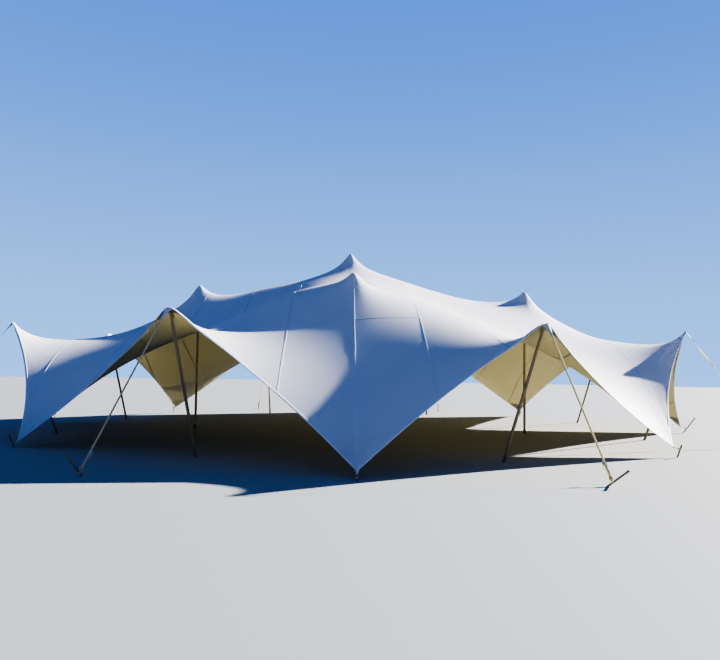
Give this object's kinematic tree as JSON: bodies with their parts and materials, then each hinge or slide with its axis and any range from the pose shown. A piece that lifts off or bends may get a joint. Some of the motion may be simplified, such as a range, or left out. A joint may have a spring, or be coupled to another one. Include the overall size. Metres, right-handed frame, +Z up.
{
  "type": "stretch tent",
  "caption": "Stretch tent: one sheet of pale stretch cloth over upright and leaning wooden poles, its tips strapped down to ground stakes.",
  "frame": {"origin": "centre of the centre king pole's foot, at ground level", "axes": "+Z up, -Y towards the front tip, +X to the right seen from the front"},
  "size_m": [23.1045, 23.078, 5.45],
  "materials": {
    "cloth": "matt coated stretch fabric, off-white above and pale sand below",
    "wood": "oiled brown timber, satin",
    "strap": "undyed polyester webbing, matt",
    "steel": "dark painted steel bar, worn and satin"
  },
  "bodies": {
    "root": {"cloth_front_1": "cloth", "cloth_front_2": "cloth", "cloth_front_3": "cloth", "cloth_front_4": "cloth", "cloth_front_5": "cloth", "cloth_front_6": "cloth", "cloth_back_1": "cloth", "cloth_back_2": "cloth", "cloth_back_3": "cloth", "cloth_back_4": "cloth", "cloth_back_5": "cloth", "cloth_back_6": "cloth", "king_pole_left": "wood", "king_pole_centre": "wood", "king_pole_right": "wood", "king_pole_front": "wood", "king_pole_back": "wood", "tip_stake_front_left": "steel", "tip_strap_front_left": "strap", "edge_pole_left_middle": "wood", "guy_stake_left_middle": "steel", "guy_strap_left_middle": "strap", "tip_stake_front": "steel", "tip_strap_front": "strap", "edge_pole_right_middle": "wood", "guy_stake_right_middle": "steel", "guy_strap_right_middle": "strap", "tip_stake_front_right": "steel", "tip_strap_front_right": "strap", "edge_pole_right_front": "wood", "guy_stake_right_front": "steel", "guy_strap_right_front": "strap", "tip_stake_right": "steel", "tip_strap_right": "strap", "edge_pole_right_back": "wood", "guy_stake_right_back": "steel", "guy_strap_right_back": "strap", "tip_stake_back_right": "steel", "tip_strap_back_right": "strap", "edge_pole_back_middle_right": "wood", "guy_stake_back_middle_right": "steel", "guy_strap_back_middle_right": "strap", "tip_stake_back": "steel", "tip_strap_back": "strap", "edge_pole_back_middle_left": "wood", "guy_stake_back_middle_left": "steel", "guy_strap_back_middle_left": "strap", "tip_stake_back_left": "steel", "tip_strap_back_left": "strap", "edge_pole_left_back": "wood", "guy_stake_left_back": "steel", "guy_strap_left_back": "strap", "tip_stake_left": "steel", "tip_strap_left": "strap", "edge_pole_left_front": "wood", "guy_stake_left_front": "steel", "guy_strap_left_front": "strap"}
  },
  "joints": []
}
